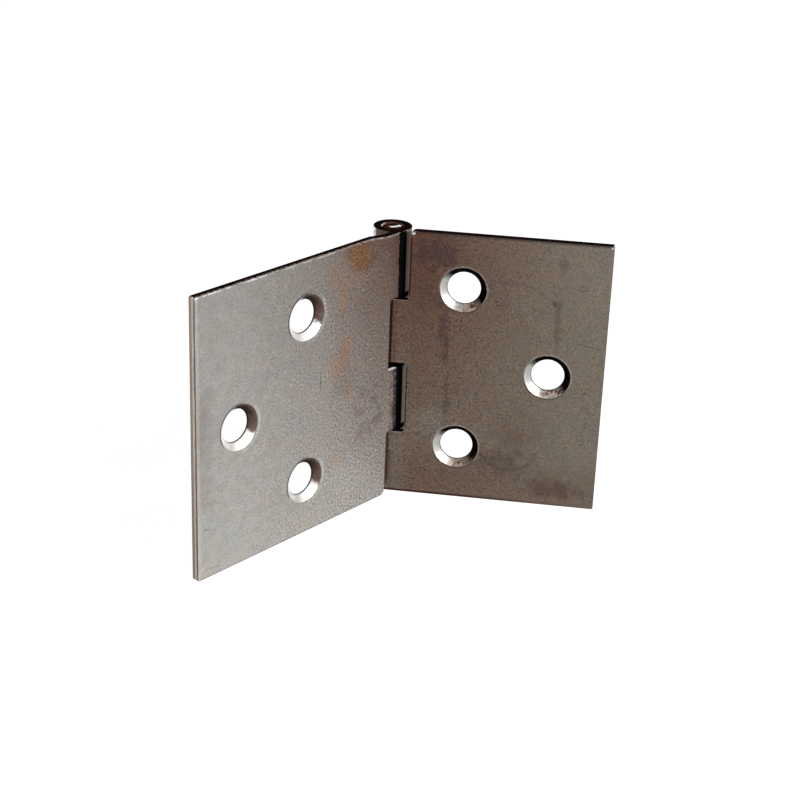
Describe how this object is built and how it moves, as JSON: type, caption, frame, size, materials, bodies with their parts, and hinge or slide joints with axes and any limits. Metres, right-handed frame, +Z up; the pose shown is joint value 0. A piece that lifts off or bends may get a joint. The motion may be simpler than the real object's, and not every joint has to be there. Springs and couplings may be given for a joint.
{
  "type": "table hinge",
  "caption": "Flat table hinge with unequal leaves: each steel sheet rolls round the pin, with countersunk screw holes on the side away from the knuckles.",
  "frame": {"origin": "on the pin's axis, at the pin's lower end, flush with the lower ends of both leaves", "axes": "+Z up along the pin, +X out along the short leaf, -Y the way its countersunk face looks"},
  "size_m": [0.0512, 0.0369, 0.04],
  "materials": {
    "leaf_steel": "bare cold-rolled mild steel, dull and finely pitted, with brown rust blooms and handling stains",
    "pin_steel": "bare drawn steel wire, cut end dull brown with a worn bright lip"
  },
  "bodies": {
    "fixed_leaf": {"short_leaf": "leaf_steel", "pin": "pin_steel"},
    "swinging_leaf": {"long_leaf": "leaf_steel"}
  },
  "joints": [
    {"name": "leaf_swing", "type": "hinge", "parent": "fixed_leaf", "child": "swinging_leaf", "pos_m": [0, 0, 0], "axis": [0, 0, 1], "range_deg": [-236.3, 36.7]}
  ]
}
